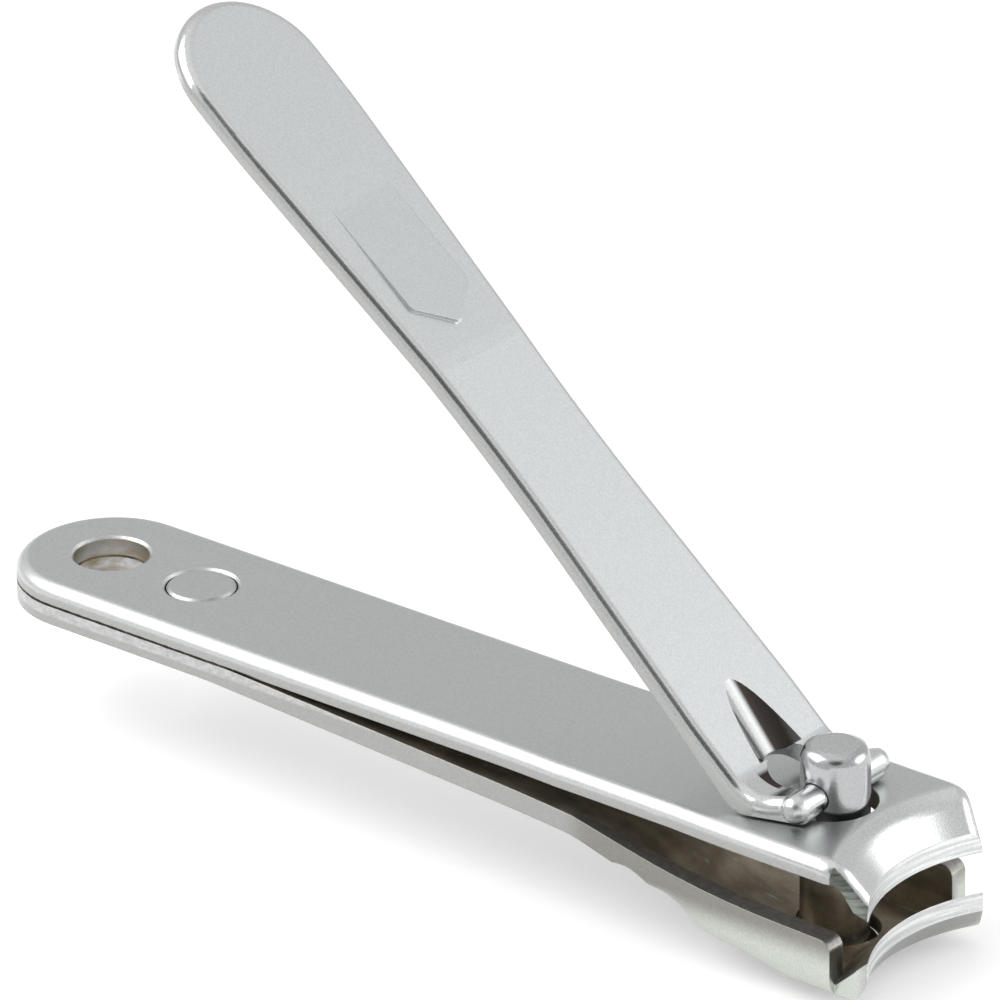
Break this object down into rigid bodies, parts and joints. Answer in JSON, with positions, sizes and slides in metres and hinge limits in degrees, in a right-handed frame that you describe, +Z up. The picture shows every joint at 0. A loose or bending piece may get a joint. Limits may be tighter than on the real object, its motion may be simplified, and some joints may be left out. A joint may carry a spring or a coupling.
{
  "type": "nail clipper",
  "caption": "Compound-lever nail clipper: spring jaws joined at the tail, concave cutting lips, a lower jaw dished into a tray, and a thumb lever on a turning post.",
  "frame": {"origin": "on the axis of the key-ring hole at the tail, in the plane where the two jaws touch", "axes": "+X from the tail to the cutting lips, +Z up through the upper jaw towards the lever, +Y across the jaws; the object is symmetric about y = 0"},
  "size_m": [0.0789, 0.0156, 0.0553],
  "materials": {
    "jaw_steel": "satin steel with bare sheared edges, dull brown and unpolished on the inner side",
    "upper_steel": "fine satin steel with polished rounded edges and ground lips",
    "rivet_steel": "satin, dressed flush with the jaws",
    "post_steel": "polished side, dull flat on the head",
    "lever_steel": "light fine satin steel with polished rounded edges"
  },
  "bodies": {
    "lower_jaw": {"lower_jaw": "jaw_steel", "tail_rivet": "rivet_steel"},
    "upper_jaw": {"upper_jaw": "upper_steel"},
    "post": {"post": "post_steel"},
    "lever": {"lever": "lever_steel"}
  },
  "joints": [
    {"name": "jaw_flex", "type": "hinge", "parent": "lower_jaw", "child": "upper_jaw", "pos_m": [0.0147, 0, 0], "axis": [0, 1, 0], "range_deg": [0, 3], "stiffness_Nm_per_rad": 1.5},
    {"name": "post_swivel", "type": "hinge", "parent": "lower_jaw", "child": "post", "pos_m": [0.0645, 0, 0], "axis": [0, 0, 1], "continuous": true},
    {"name": "lever_press", "type": "hinge", "parent": "post", "child": "lever", "pos_m": [0.0645, 0, 0.00312], "axis": [0, 1, 0], "range_deg": [-37, 0], "stiffness_Nm_per_rad": 0.12, "springref_deg": 1.72}
  ],
  "couplings": [
    {"joint": "jaw_flex", "follows": "lever_press", "ratio": -0.08108}
  ]
}
